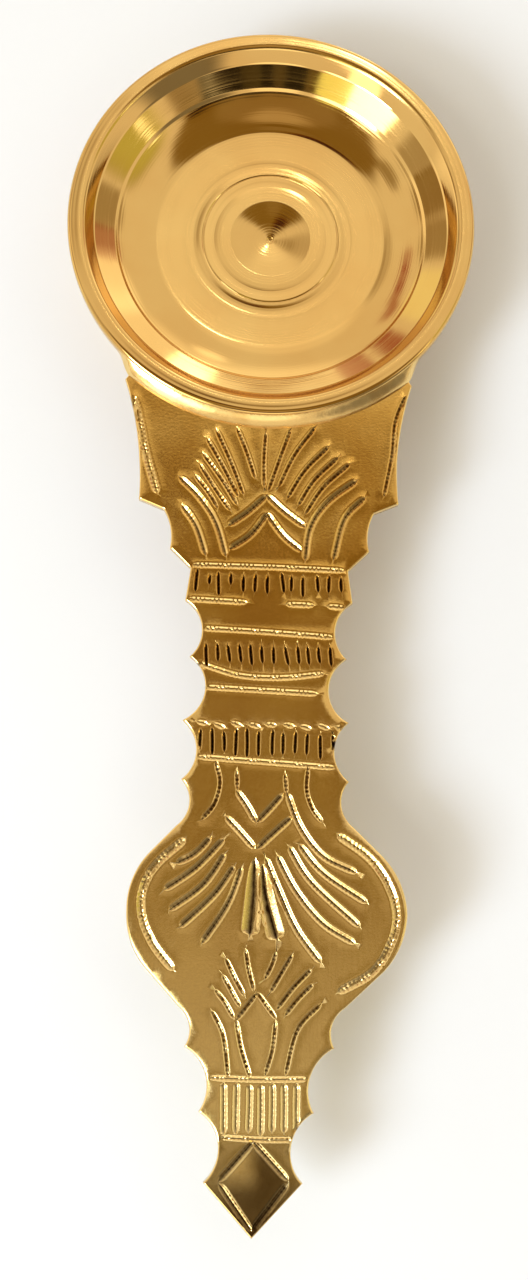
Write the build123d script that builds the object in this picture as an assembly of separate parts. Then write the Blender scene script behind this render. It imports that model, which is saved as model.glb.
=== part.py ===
from build123d import *

import os
from math import acos, atan2, cos, degrees, hypot, radians, sin

# Hand lamp for aarti: a turned brass oil bowl on a foot ring, with a flat chased handle brazed under its rim.
# Millimetres, +Z up. The origin lies under the middle of the lamp's length, on the plane that it stands on.
# The handle runs along -Y from the bowl and its chased face looks up.

# Oil bowl, turned from a casting
rim_radius = 35.0
rim_width = 4.6
rim_thickness = 2.2
rim_edge_round = 0.7
lip_round = 0.5
bowl_depth = 7.5
floor_radius = 26.8
floor_round = 1.5
floor_thickness = 3.0
wall_thickness = 2.2
base_round = 0.8
dimple_radius = 7.0
dimple_depth = 1.2
centre_mark_radius = 0.7
centre_mark_depth = 0.4
floor_ring_radius = 12.3
floor_ring_width = 1.6
floor_ring_depth = 0.15
rim_line_insets = (1.2, 2.7)
rim_line_width = 0.3
rim_line_depth = 0.1

# Foot ring that the bowl stands on
foot_height = 6.0
foot_radius = 28.8
foot_neck_radius = 25.8
foot_neck_height = 1.8
foot_bore_radius = 19.0
foot_sole = 1.2
foot_cove_fullness = 0.3

# Handle plate, sawn from sheet and filed
handle_thickness = 1.8
edge_bevel = 0.3
bevel_angle = 45.0
seat_angle = 42.0
seat_clearance = 0.5
ear_angle = 40.5
ear_overhang = 2.5

# Stations of the plate's edge: distance beyond the rim, half width there
waist = (6.0, 21.8)
shoulder = (14.3, 21.75)
step = (16.0, 17.6)
skirt_bend = (19.2, 16.5)
skirt = (22.6, 16.6)
collar_top = (26.0, 13.1)
collar_point = (31.4, 13.85)
first_neck, first_point = (36.3, 11.0), (40.8, 12.9)
second_neck, second_point = (45.5, 10.15), (51.3, 13.6)
third_neck, third_point = (56.2, 11.25), (60.9, 13.6)
flare_neck, flare = (65.0, 12.35), (68.3, 14.3)
bulge_at, bulge_half_width = 81.9, 22.45
bulge_round = 13.2
bulge_end = (96.6, 13.2)
lower_neck, lower_point = (99.3, 11.3), (102.8, 11.8)
pleat_neck, pleat_point = (108.3, 8.0), (112.6, 9.0)
finial_neck, finial_point = (118.1, 5.65), (123.1, 7.7)
tip_at = 131.3

# Brazing metal
braze_film = 0.15
rim_braze_leg = 1.7
rim_braze_fullness = 0.56
wall_braze_leg = 2.0
foot_braze_leg = 1.2
braze_end_margin = 1.0

# Chased ornament: V cuts in the plate's upper face
stroke_width = 0.9
bold_stroke_width = 1.3
stroke_depth = 0.4
stroke_lead = 1.2
chisel_clearance = 0.2
border_inset = 2.4
border_steps = 3
border_sweep = 45.0
line_inset = 0.6
row_inset = 1.3

# Fan field between the bowl and the collar: distance beyond the collar's top line, distance from the middle
field_border = [(-30.6, 22.4), (-24.5, 20.8), (-19.0, 19.9), (-12.4, 18.7)]
field_fan_origin = -6.5
field_fan_strokes = 7
field_fan_angles = ((0, 62), (0, 55))
field_fan_radii = ((8.3, 7.2), (17.5, 16.5))
field_chevrons = [[(-12.7, 0.0), (-7.3, 6.2)], [(-9.6, 0.0), (-3.3, 6.0)]]
field_leaves = [[(-15.6, 14.9), (-8.0, 8.3), (-2.2, 6.5)], [(-11.7, 15.4), (-5.7, 11.4), (-2.0, 10.5)]]

# Bands of strokes across the stem
collar_strokes = 13
collar_gap = 3.0
gadroon_strokes = 12
gadroon_slant = 0.6
gadroon_swag = [(0.8, -10.2), (3.2, -3.5), (3.2, 3.5), (0.8, 10.2)]
reed_strokes = 12
pleat_strokes = 7
pleat_pitch = 1.9

# Lotus on the bulge: distance beyond the bulge's widest place, distance from the middle
lotus_calyx = [[(-23.6, 7.4), (-20.1, 7.2), (-16.9, 8.0), (-14.4, 9.5)], [(-22.6, 4.0), (-19.3, 4.0)]]
lotus_chevrons = [[(-18.9, 3.8), (-14.1, 0.0)], [(-15.0, 5.3), (-9.8, 0.0)]]
lotus_flutes = [[(-8.0, 0.9), (-2.5, 1.5), (3.3, 3.1)]]
lotus_fan_origin = -13.9
lotus_fan_strokes = 5
lotus_fan_angles = ((16, 74.5), (25, 63.7))
lotus_fan_radii = ((6.6, 7.2), (22.3, 16.9))
lotus_fan_bow = 0.1

# Bud below the bulge: distance beyond the bulge's end, distance from the middle
bud_sides = [[(-2.2, 0.0), (1.9, 3.1)], [(1.9, 3.1), (10.2, 1.2)]]
bud_leaves = [[(0.1, 8.7), (4.0, 5.6), (10.4, 4.4)]]
bud_fan_origin = 2.9
bud_fan_strokes = 4
bud_fan_angles = ((8.6, 70), (12, 53))
bud_fan_radii = ((6.4, 4.1), (11.9, 9.6))

# Diamond on the finial, inset from its edge
diamond_inset = 1.6

# Heights and radii that follow from the sizes above
base_z = foot_height
floor_z = base_z + floor_thickness
rim_z = floor_z + bowl_depth
plate_top_z = rim_z - rim_thickness
plate_bottom_z = plate_top_z - handle_thickness
lip_radius = rim_radius - rim_width
wall_slope = (lip_radius - floor_radius) / bowl_depth

# The pieces are built about the bowl's axis and then moved together into the frame
into_frame = Pos(0, tip_at / 2, 0)


def wall_radius(z):
    """Radius of the bowl's outer wall at a height."""
    return floor_radius + wall_thickness + wall_slope * (z - floor_z)


def seat_radius(z):
    """Radius of the plate's end at a height, which follows the bowl's wall at the thickness of the braze."""
    return wall_radius(z) + braze_film


def rounded(profile, corner, radius):
    """A flat profile with the corner nearest a point rounded."""
    return fillet(profile.vertices().sort_by_distance(Vector(*corner))[0], radius)


def turned(profile, arc=360.0):
    """A profile in radius and height turned about the bowl's axis, with a part turn centred on the handle."""
    turn = revolve(Plane.XZ * profile, Axis.Z, revolution_arc=arc)
    return Rot(0, 0, -90 - arc / 2) * turn


def corner_arc(start, corner, end, fullness):
    """An arc across the corner between two legs: hollow under a fullness of a half, full over it."""
    middle = ((start[0] + end[0]) / 2, (start[1] + end[1]) / 2)
    bulge = tuple(corner[i] + (middle[i] - corner[i]) * 2 * fullness for i in range(2))
    return ThreePointArc(start, bulge, end)


def ring_groove(radius, width, depth, z):
    """Profile points of a shallow V turned into a level face, from its outer edge inwards."""
    return [(radius + width / 2, z), (radius, z - depth), (radius - width / 2, z)]


def make_bowl():
    """The oil bowl: flanged rim, sloping wall, and a floor with a ring, a shallow cone and a centre mark."""
    base = (wall_radius(base_z), base_z)
    rim_edge, lip, floor_edge = (rim_radius, rim_z), (lip_radius, rim_z), (floor_radius, floor_z)
    rim_lines = [ring_groove(rim_radius - inset, rim_line_width, rim_line_depth, rim_z)
                 for inset in rim_line_insets]
    mark_z = floor_z - dimple_depth * (1 - centre_mark_radius / dimple_radius)
    profile = make_face(Polyline(
        (0, base_z), base, (wall_radius(plate_top_z), plate_top_z), (rim_radius, plate_top_z),
        rim_edge, *(point for line in rim_lines for point in line), lip, floor_edge,
        *ring_groove(floor_ring_radius, floor_ring_width, floor_ring_depth, floor_z),
        (dimple_radius, floor_z), (centre_mark_radius, mark_z), (0, mark_z - centre_mark_depth), close=True))
    corners = ((base, base_round), (rim_edge, rim_edge_round), (lip, lip_round), (floor_edge, floor_round))
    for corner, radius in corners:
        profile = rounded(profile, corner, radius)
    return turned(profile)


def make_foot_ring():
    """The foot: a ring with a straight neck, a hollow moulding and a flat sole."""
    neck_end, sole_edge = (foot_neck_radius, foot_height - foot_neck_height), (foot_radius, foot_sole)
    sides = Polyline(neck_end, (foot_neck_radius, foot_height), (foot_bore_radius, foot_height),
                     (foot_bore_radius, 0), (foot_radius, 0), sole_edge)
    cove = corner_arc(sole_edge, (foot_neck_radius, foot_sole), neck_end, foot_cove_fullness)
    return turned(make_face([sides, cove]))


def make_rim_braze():
    """The dressed seam that runs from the rim's edge down to the plate, from ear to ear."""
    corner = (rim_radius, plate_top_z)
    toe = (rim_radius + rim_braze_leg, plate_top_z)
    crown = (rim_radius, rim_z - rim_edge_round)
    face = corner_arc(toe, corner, crown, rim_braze_fullness)
    return turned(make_face([Polyline(crown, corner, toe), face]), 2 * (ear_angle - braze_end_margin))


def make_wall_braze():
    """The hidden seam that fills the joint between the plate's end and the bowl's wall."""
    corner = (seat_radius(plate_bottom_z), plate_bottom_z)
    toe = (corner[0] + wall_braze_leg, plate_bottom_z)
    heel_z = plate_bottom_z - wall_braze_leg
    profile = make_face(Polyline(
        (wall_radius(heel_z), heel_z), (wall_radius(plate_top_z), plate_top_z),
        (seat_radius(plate_top_z), plate_top_z), corner, toe, close=True))
    return turned(profile, 2 * (seat_angle - braze_end_margin))


def make_foot_braze():
    """The seam round the joint between the foot's neck and the bowl's base."""
    corner = (foot_neck_radius, base_z)
    toe, heel = (foot_neck_radius + foot_braze_leg, base_z), (foot_neck_radius, base_z - foot_braze_leg)
    return turned(make_face(Polyline(heel, corner, toe, close=True)))


def on_plate(beyond_rim, across):
    """A point on the plate, from its distance beyond the rim and its distance from the middle line."""
    return (across, -(rim_radius + beyond_rim))


def about_bowl(radius, angle):
    """A point on the plate at a radius from the bowl's axis and an angle from the plate's middle line."""
    return (radius * sin(radians(angle)), -radius * cos(radians(angle)))


def about_bulge(radius, angle):
    """A point on a round about the centre of the bulge's right-hand side, at an angle from straight out."""
    centre_across = bulge_half_width - bulge_round
    across = centre_across + radius * cos(radians(angle))
    return on_plate(bulge_at + radius * sin(radians(angle)), across)


def bulge_tangent(station):
    """The angle on the bulge's round at which a line from a station of the edge touches it."""
    along, out = station[0] - bulge_at, station[1] - (bulge_half_width - bulge_round)
    turn = degrees(acos(bulge_round / hypot(along, out)))
    return degrees(atan2(along, out)) - (turn if along > 0 else -turn)


def plate_edge():
    """The right-hand half of the plate's edge, from its seat on the bowl to its tip."""
    end_radius = wall_radius(plate_bottom_z)
    seat_end = about_bowl(end_radius, seat_angle)
    ear = about_bowl(rim_radius + ear_overhang, ear_angle)
    shoulder_at, step_at, skirt_at = on_plate(*shoulder), on_plate(*step), on_plate(*skirt)
    collar_end, flare_at, bulge_end_at = on_plate(*collar_point), on_plate(*flare), on_plate(*bulge_end)
    edge = [
        ThreePointArc(*(about_bowl(end_radius, seat_angle * share) for share in (0, 0.5, 1))),
        Line(seat_end, ear),
        ThreePointArc(ear, on_plate(*waist), shoulder_at),
        Line(shoulder_at, step_at),
        ThreePointArc(step_at, on_plate(*skirt_bend), skirt_at),
        Polyline(skirt_at, on_plate(*collar_top), collar_end)]
    upper = (
        (first_neck, first_point), (second_neck, second_point),
        (third_neck, third_point), (flare_neck, flare))
    lower = ((lower_neck, lower_point), (pleat_neck, pleat_point), (finial_neck, finial_point))
    edge += scallops(collar_end, upper)
    bulge_from, bulge_to = bulge_tangent(flare), bulge_tangent(bulge_end)
    edge += [
        Line(flare_at, about_bulge(bulge_round, bulge_from)),
        ThreePointArc(*(about_bulge(bulge_round, angle) for angle in (bulge_from, 0, bulge_to))),
        Line(about_bulge(bulge_round, bulge_to), bulge_end_at)]
    edge += scallops(bulge_end_at, lower)
    edge.append(Line(on_plate(*finial_point), on_plate(tip_at, 0)))
    return edge


def scallops(start, stations):
    """Hollow arcs from a start, each through a neck to the point after it."""
    arcs = []
    for neck, point in stations:
        arcs.append(ThreePointArc(start, on_plate(*neck), on_plate(*point)))
        start = on_plate(*point)
    return arcs


def chisel_cut(path, width):
    """The metal that one chisel stroke takes out: a V along a path on the plate, pointed at both ends."""
    face = [Vector(x, y, plate_top_z) for x, y in path]
    if len(face) == 2:
        face.insert(1, (face[0] + face[1]) * 0.5)
    grow = (stroke_depth + chisel_clearance) / stroke_depth
    lift = Vector(0, 0, chisel_clearance)
    keel = [point - Vector(0, 0, stroke_depth) for point in face[1:-1]]
    sides = [[], []]
    for before, here, after in zip(face, face[1:], face[2:]):
        half = (after - before).normalized().cross(Vector(0, 0, 1)) * (width / 2 * grow)
        sides[0].append(here + lift - half)
        sides[1].append(here + lift + half)
    start = keel[0] + (face[0] - keel[0]) * grow
    end = keel[-1] + (face[-1] - keel[-1]) * grow
    polygons = [[start, *sides[0], end, *reversed(sides[1])]]
    for side in sides:
        polygons += [[start, side[0], keel[0]], [end, side[-1], keel[-1]]]
        for i in range(len(keel) - 1):
            polygons += [[side[i], side[i + 1], keel[i]], [side[i + 1], keel[i + 1], keel[i]]]
    return Solid(Shell([Face(Wire.make_polygon(polygon)) for polygon in polygons]))


def both_sides(paths):
    """Paths on the right-hand half of the plate, with their mirror images."""
    return [*paths, *([(-x, y) for x, y in path] for path in paths)]


def ruled_line(beyond_rim, half_width):
    """A line across the plate, with a short tapered lead at each end."""
    inner = half_width - stroke_lead
    return [on_plate(beyond_rim, across) for across in (-half_width, -inner, inner, half_width)]


def row_of_strokes(count, half_width, first, last, slant=0.0):
    """A row of strokes side by side across the plate, each from one distance beyond the rim to another."""
    pitch = 2 * half_width / (count - 1)
    places = [pitch * i - half_width for i in range(count)]
    return [[on_plate(first, across), on_plate(last, across + slant)] for across in places]


def fan(origin, towards, count, angles, radii, bow=0.0):
    """Strokes on the right-hand half that spread from an origin on the middle line.

    It opens away from the bowl where towards is 1 and to it where that is -1. Angles and radii are given for
    the inner and then the outer ends, each for the first and the last stroke. A bow bends strokes inwards."""
    strokes = []
    for i in range(count):
        share = i / (count - 1)
        ends = []
        for angle, radius in zip(angles, radii):
            turn = radians(angle[0] + (angle[1] - angle[0]) * share)
            reach = radius[0] + (radius[1] - radius[0]) * share
            ends.append((origin + towards * reach * cos(turn), reach * sin(turn)))
        (near, near_across), (far, far_across) = ends
        sag = bow * abs(far - near)
        middle = ((near + far) / 2 + towards * sag, (near_across + far_across) / 2 - sag)
        strokes.append([on_plate(*point) for point in (ends[0], middle, ends[1])])
    return strokes


def placed(paths, start):
    """Paths given from a place on the plate's middle line, as points on the plate."""
    return [[on_plate(start + along, across) for along, across in path] for path in paths]


def field_ornament():
    """Chevrons and a fan that opens to the bowl, two leaf lines a side, and a border."""
    top = collar_top[0]
    rays = fan(top + field_fan_origin, -1, field_fan_strokes, field_fan_angles, field_fan_radii)
    lines = placed([field_border, *field_leaves], top)
    return [rays[0], *both_sides(rays[1:] + lines)], both_sides(placed(field_chevrons, top))


def stem_ornament():
    """Lines across the stem, with rows of strokes between them."""
    swag_at = first_point[0]
    reed_end = third_neck[0] + line_inset
    fine = [
        ruled_line(first_neck[0], first_neck[1] - line_inset),
        ruled_line(second_neck[0], second_neck[1] - line_inset),
        ruled_line(second_point[0], second_point[1] - row_inset),
        ruled_line(reed_end + row_inset, third_neck[1] - line_inset / 2),
        *placed([gadroon_swag], swag_at),
        *row_of_strokes(gadroon_strokes, first_neck[1] - row_inset, first_neck[0] + row_inset,
                        swag_at + line_inset, gadroon_slant),
        *row_of_strokes(reed_strokes, third_neck[1] - line_inset, second_point[0] + line_inset, reed_end)]
    collar_end = [on_plate(collar_point[0], across) for across in
                  (collar_point[1] - line_inset, collar_point[1] - row_inset, collar_gap)]
    fine += both_sides([collar_end])
    fine += row_of_strokes(collar_strokes, collar_top[1] - row_inset, collar_top[0] + line_inset,
                           collar_point[0] - row_inset)
    return fine, [ruled_line(collar_top[0], collar_top[1] - line_inset)]


def lotus_ornament():
    """The bulge's lotus: a calyx, chevrons, petals that fan out from them, and a border inside the edge."""
    petals = fan(bulge_at + lotus_fan_origin, 1, lotus_fan_strokes,
                 lotus_fan_angles, lotus_fan_radii, lotus_fan_bow)
    border = [on_plate(flare[0] + border_inset, flare[1] - border_inset)]
    border += [about_bulge(bulge_round - border_inset, border_sweep * i / border_steps)
               for i in range(-border_steps, border_steps + 1)]
    border.append(on_plate(bulge_end[0] - border_inset, bulge_end[1] - border_inset / 2))
    fine = both_sides([border, *placed(lotus_calyx, bulge_at)])
    bold = both_sides([*petals, *placed(lotus_chevrons + lotus_flutes, bulge_at)])
    return fine, bold


def bud_ornament():
    """A bud below the bulge with a fan over it and a leaf line each side."""
    start = bulge_end[0]
    rays = fan(start + bud_fan_origin, -1, bud_fan_strokes, bud_fan_angles, bud_fan_radii)
    return both_sides(rays + placed(bud_leaves, start)), both_sides(placed(bud_sides, start))


def finial_ornament():
    """A row of pleats between two lines, and a diamond inside the finial's edge."""
    pleat_top, pleat_end = pleat_neck[0] - line_inset, finial_neck[0] - row_inset
    pleats_half = pleat_pitch * (pleat_strokes - 1) / 2
    fine = [
        ruled_line(pleat_top, pleat_neck[1] - line_inset / 2),
        ruled_line(pleat_end, finial_neck[1]),
        *row_of_strokes(pleat_strokes, pleats_half, pleat_top + line_inset, pleat_end - line_inset)]
    side = on_plate(finial_point[0], finial_point[1] - diamond_inset)
    top, end = on_plate(finial_neck[0] - line_inset, 0), on_plate(tip_at - diamond_inset, 0)
    return fine, both_sides([[top, side], [side, end]])


def seat_cut():
    """The cone, parallel to the bowl's wall, that the plate's end is filed to."""
    low, high = plate_bottom_z - seat_clearance, plate_top_z + seat_clearance
    return turned(make_face(Polyline(
        (0, low), (seat_radius(low), low), (seat_radius(high), high), (0, high), close=True)))


def make_handle():
    """The handle plate with a filed edge and its chased ornament."""
    half = plate_edge()
    outline = make_face([*half, *(mirror(line, about=Plane.YZ) for line in half)])
    bevel_z = plate_top_z - edge_bevel
    plate = extrude(Plane.XY.offset(plate_bottom_z) * outline, handle_thickness - edge_bevel)
    filed = extrude(Plane.XY.offset(bevel_z) * outline, edge_bevel, taper=bevel_angle)
    if filed.center().Z < bevel_z:
        filed = mirror(filed, about=Plane.XY.offset(bevel_z))
    plate += filed
    cuts = [seat_cut()]
    for ornament in (field_ornament, stem_ornament, lotus_ornament, bud_ornament, finial_ornament):
        fine, bold = ornament()
        cuts += [chisel_cut(path, stroke_width) for path in fine]
        cuts += [chisel_cut(path, bold_stroke_width) for path in bold]
    return plate - cuts


sub_parts = {
    "bowl": make_bowl(),
    "foot_ring": make_foot_ring(),
    "handle": make_handle(),
    "rim_braze": make_rim_braze(),
    "wall_braze": make_wall_braze(),
    "foot_braze": make_foot_braze(),
}

os.makedirs("parts", exist_ok=True)
for name, shape in sub_parts.items():
    export_step(into_frame * shape, f"parts/{name}.step")
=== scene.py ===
"""Aarti lamp in brass: its visible pieces and finishes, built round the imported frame.

Metres, +Z up, +Y from the handle's tip towards the bowl. Sizes in the classes are millimetres.
"""

import logging
import math
import random
from dataclasses import dataclass, field
from enum import Enum

import bmesh
import bpy
import numpy as np
from mathutils import Euler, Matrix, Vector, geometry, kdtree, noise


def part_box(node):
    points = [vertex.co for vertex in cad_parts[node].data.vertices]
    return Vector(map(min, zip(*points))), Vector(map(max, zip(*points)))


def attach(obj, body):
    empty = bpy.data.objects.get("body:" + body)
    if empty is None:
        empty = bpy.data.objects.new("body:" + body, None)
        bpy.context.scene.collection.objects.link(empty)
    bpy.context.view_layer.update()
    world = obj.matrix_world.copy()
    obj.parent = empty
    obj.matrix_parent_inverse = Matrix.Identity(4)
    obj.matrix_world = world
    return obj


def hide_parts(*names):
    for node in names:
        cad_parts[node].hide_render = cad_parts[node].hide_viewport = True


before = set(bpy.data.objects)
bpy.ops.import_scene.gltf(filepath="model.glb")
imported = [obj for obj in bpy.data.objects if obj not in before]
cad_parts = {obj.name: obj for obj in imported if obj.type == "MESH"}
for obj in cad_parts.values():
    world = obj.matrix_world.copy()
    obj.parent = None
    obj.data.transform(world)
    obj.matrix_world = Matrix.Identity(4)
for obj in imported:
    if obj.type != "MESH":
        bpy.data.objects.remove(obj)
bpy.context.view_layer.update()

log = logging.getLogger("aarti_lamp")

MM = 0.001
FULL_TURN = 2 * math.pi
ROUND_STEPS = 6
Triple = tuple[float, float, float]
Colour = Triple
Spot = tuple[float, float]
Socket = bpy.types.NodeSocket
# Marks on the plate's corners: tarnish with painted shade in the hollows, worn edges with painted highlights, and
# painted shade on the tip.
WEAR_AND_PAINTED_LIGHT = ("hollow", "edge", "painted_tip_shade")


@dataclass(frozen=True)
class Datum:
    """Places that every piece is set out from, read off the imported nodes, in millimetres."""

    bowl_y: float
    rim_radius: float
    rim_z: float
    base_z: float
    plate_top: float
    plate_bottom: float

    @classmethod
    def read(cls) -> "Datum":
        """Reads the bowl's axis and the heights of the bowl and the plate.

        Returns:
            The places.
        """
        bowl_low, bowl_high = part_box("bowl")
        plate_low, plate_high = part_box("handle")
        return cls(
            bowl_y=(bowl_low.y + bowl_high.y) / 2 / MM, rim_radius=(bowl_high.x - bowl_low.x) / 2 / MM,
            rim_z=bowl_high.z / MM, base_z=bowl_low.z / MM,
            plate_top=plate_high.z / MM, plate_bottom=plate_low.z / MM)


class NodeSheet:
    """Short calls that add and join the nodes of one material or world."""

    def __init__(self, tree: bpy.types.NodeTree) -> None:
        """Starts on an emptied node tree."""
        self.tree = tree
        tree.nodes.clear()

    def add(self, kind: str, inputs: dict | None = None, **settings: object) -> bpy.types.Node:
        """Adds one node.

        Args:
            kind: Blender's name of the node type.
            inputs: values or sockets for its inputs, by name or number.
            settings: values for its properties.

        Returns:
            The new node.
        """
        node = self.tree.nodes.new(kind)
        for name, value in settings.items():
            setattr(node, name, value)
        for name, value in (inputs or {}).items():
            if isinstance(value, Socket):
                self.tree.links.new(value, node.inputs[name])
            else:
                node.inputs[name].default_value = value
        return node

    def math(self, operation: str, first: Socket | float, second: Socket | float = 0.0) -> Socket:
        """A sum of two numbers or sockets by one of Blender's Math operations."""
        return self.add("ShaderNodeMath", {0: first, 1: second}, operation=operation).outputs[0]

    def noise(self, where: Socket, scale: float, detail: float = 3.0) -> Socket:
        """Soft cloudy noise at a place."""
        return self.add("ShaderNodeTexNoise", {"Vector": where, "Scale": scale, "Detail": detail}).outputs[0]

    def spread(self, value: Socket, low: float, high: float, out_low: float, out_high: float) -> Socket:
        """A value carried from one range to another, and kept inside it."""
        return self.add("ShaderNodeMapRange", {0: value, 1: low, 2: high, 3: out_low, 4: out_high}).outputs[0]

    def blend(self, share: Socket, first: Colour | Socket, second: Colour | Socket) -> Socket:
        """One colour turned into another.

        Args:
            share: how far it has turned, from 0 to 1.
            first: the colour at 0.
            second: the colour at 1.

        Returns:
            The blended colour.
        """
        inputs = {0: share}
        for place, colour in ((6, first), (7, second)):
            inputs[place] = colour if isinstance(colour, Socket) else (*colour, 1.0)
        return self.add("ShaderNodeMix", inputs, data_type="RGBA").outputs[2]

    def placed(self, shift: Triple = (0, 0, 0), stretch: Triple = (1, 1, 1)) -> Socket:
        """Object coordinates, stretched and shifted in metres."""
        coordinates = self.add("ShaderNodeTexCoord").outputs["Object"]
        return self.add("ShaderNodeMapping", {"Vector": coordinates, "Location": shift, "Scale": stretch}).outputs[0]

    def brass(self, colour: Socket, rough: Socket, height: Socket, strength: float, depth: float) -> None:
        """Ends a material's sheet in bare metal.

        Args:
            colour: the metal's colour.
            rough: its roughness.
            height: its fine unevenness.
            strength: how much of that shows.
            depth: how deep it is, in millimetres.
        """
        bump = self.add("ShaderNodeBump", {"Strength": strength, "Distance": depth * MM, "Height": height})
        shader = self.add("ShaderNodeBsdfPrincipled", {
            "Base Color": colour, "Metallic": 1.0, "Roughness": rough, "Normal": bump.outputs[0]})
        self.add("ShaderNodeOutputMaterial", {0: shader.outputs[0]})


def new_material(name: str) -> tuple[bpy.types.Material, NodeSheet]:
    """An empty node material and its sheet.

    Args:
        name: the material's name.

    Returns:
        The material and the sheet that its nodes go on.
    """
    material = bpy.data.materials.new(name)
    material.use_nodes = True
    return material, NodeSheet(material.node_tree)


@dataclass(frozen=True)
class TurnedBrass:
    """Brass off the lathe: bright, with fine rings about the bowl's axis and a faint unevenness."""

    name: str = "turned_brass"
    metal: Colour = (0.74, 0.50, 0.178)
    deep_metal: Colour = (0.70, 0.44, 0.145)
    smooth: float = 0.05
    dull: float = 0.14
    rings_per_mm: float = 2.4
    bands_per_mm: float = 0.28
    ring_depth: float = 0.06
    wall_start: float = 26.0
    wall_end: float = 31.0
    wall_calm: float = 0.25
    cloud_scale: float = 60.0
    uneven_scale: float = 95.0
    unevenness: float = 0.5
    relief: float = 0.35
    relief_depth: float = 0.35

    def make(self, datum: Datum) -> bpy.types.Material:
        """Makes the finish.

        Args:
            datum: gives the axis that the rings run about.

        Returns:
            The material.
        """
        material, sheet = new_material(self.name)
        place = sheet.placed((0, -datum.bowl_y * MM, 0))
        flat = sheet.add("ShaderNodeVectorMath", {0: place, 1: (1, 1, 0)}, operation="MULTIPLY").outputs[0]
        radius = sheet.add("ShaderNodeVectorMath", {0: flat}, operation="LENGTH").outputs["Value"]
        height = sheet.add("ShaderNodeSeparateXYZ", {0: place}).outputs["Z"]
        track = sheet.math("ADD", radius, height)
        rings, broad = (
            sheet.add("ShaderNodeTexNoise", {"W": track, "Scale": per_mm / MM, "Detail": detail},
                      noise_dimensions="1D").outputs[0]
            for per_mm, detail in ((self.rings_per_mm, 2.0), (self.bands_per_mm, 1.0)))
        cloud = sheet.noise(place, self.cloud_scale)
        colour = sheet.blend(sheet.spread(cloud, 0.35, 0.7, 0, 1), self.metal, self.deep_metal)
        worn = sheet.math("MULTIPLY", rings, broad)
        rough = sheet.spread(worn, 0.12, 0.4, self.smooth, self.dull)
        calm = sheet.spread(radius, self.wall_start * MM, self.wall_end * MM,
                            self.ring_depth, self.ring_depth * self.wall_calm)
        uneven = sheet.math("ADD", sheet.math("MULTIPLY", rings, calm),
                            sheet.math("MULTIPLY", sheet.noise(place, self.uneven_scale, 1.0), self.unevenness))
        sheet.brass(colour, rough, uneven, self.relief, self.relief_depth)
        return material


@dataclass(frozen=True)
class ChasedBrass:
    """Brown-gold brass of the plate: satin, with tarnish and painted shade in the chased hollows and bright worn edges.
    Painted highlights lighten the grooves' sides towards the lamp, a painted sheen pales the metal towards the tip, and
    painted shade darkens the tip.
    """

    name: str = "chased_brass"
    metal: Colour = (0.63, 0.36, 0.078)
    pale_metal: Colour = (0.76, 0.49, 0.135)
    # Tarnish in the hollows, darkened further as painted shade.
    tarnish_and_shade: Colour = (0.03, 0.013, 0.004)
    # Painted sheen: paler metal towards the tip, standing in for its brighter reflections.
    painted_sheen_metal: Colour = (0.93, 0.78, 0.40)
    # Worn edges and groove lips, and the painted highlight on the grooves' sides towards the lamp.
    worn: Colour = (0.94, 0.68, 0.28)
    # Painted shade on the tip: its right and lower facets and its end.
    darker_metal: Colour = (0.08, 0.04, 0.011)
    satin: float = 0.16
    dull: float = 0.23
    matt: float = 0.04
    matt_start: float = -35.0
    matt_end: float = -72.0
    painted_sheen_end: float = -85.0
    painted_sheen_share: float = 0.85
    crust: float = 0.15
    cloud_scale: float = 90.0
    grain_scale: float = 2600.0
    file_scale: float = 1900.0
    file_stretch: Triple = (1.0, 0.12, 1.0)
    speckle_scale: float = 900.0
    grain_share: float = 0.5
    file_share: float = 0.6
    relief: float = 0.17
    relief_depth: float = 0.12

    def make(self) -> bpy.types.Material:
        """Makes the finish, which reads the marks of wear and painted light on the plate's own corners.

        Returns:
            The material.
        """
        material, sheet = new_material(self.name)
        place = sheet.placed()
        along = sheet.placed(stretch=self.file_stretch)
        cloud = sheet.spread(sheet.noise(place, self.cloud_scale, 4.0), 0.36, 0.66, 0, 1)
        grain = sheet.noise(place, self.grain_scale, 2.0)
        file_marks = sheet.noise(along, self.file_scale, 2.0)
        # The marks: tarnish with painted shade, worn edges with painted highlights, and painted shade on the tip.
        hollow, edge, painted_tip_shade = (
            sheet.add("ShaderNodeAttribute", attribute_name=mark).outputs["Fac"] for mark in WEAR_AND_PAINTED_LIGHT)
        speckle = sheet.spread(sheet.noise(place, self.speckle_scale, 2.0), 0.35, 0.62, 0.82, 1.0)
        hollow_tarnish_and_shade = sheet.math("MULTIPLY", hollow, speckle)
        reach = sheet.add("ShaderNodeSeparateXYZ", {0: place}).outputs["Y"]
        colour = sheet.blend(cloud, self.metal, self.pale_metal)
        # Painted sheen: the metal turns paler towards the tip, for the brighter reflections there.
        painted_sheen = sheet.spread(reach, 0.0, self.painted_sheen_end * MM, 0.0, self.painted_sheen_share)
        colour = sheet.blend(painted_sheen, colour, self.painted_sheen_metal)
        # Painted shade on the tip.
        colour = sheet.blend(painted_tip_shade, colour, self.darker_metal)
        # Worn edges, with the painted highlight on the grooves' sides towards the lamp.
        colour = sheet.blend(edge, colour, self.worn)
        # Tarnish and painted shade in the hollows.
        colour = sheet.blend(hollow_tarnish_and_shade, colour, self.tarnish_and_shade)
        rough = sheet.math("ADD", sheet.spread(grain, 0.3, 0.7, self.satin, self.dull),
                           sheet.math("MULTIPLY", sheet.math("SUBTRACT", hollow_tarnish_and_shade, edge), self.crust))
        rough = sheet.math("ADD", rough, sheet.spread(
            reach, self.matt_start * MM, self.matt_end * MM, 0.0, self.matt))
        height = sheet.math("ADD", sheet.math("MULTIPLY", grain, self.grain_share),
                            sheet.math("MULTIPLY", file_marks, self.file_share))
        sheet.brass(colour, rough, height, self.relief, self.relief_depth)
        return material


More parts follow.
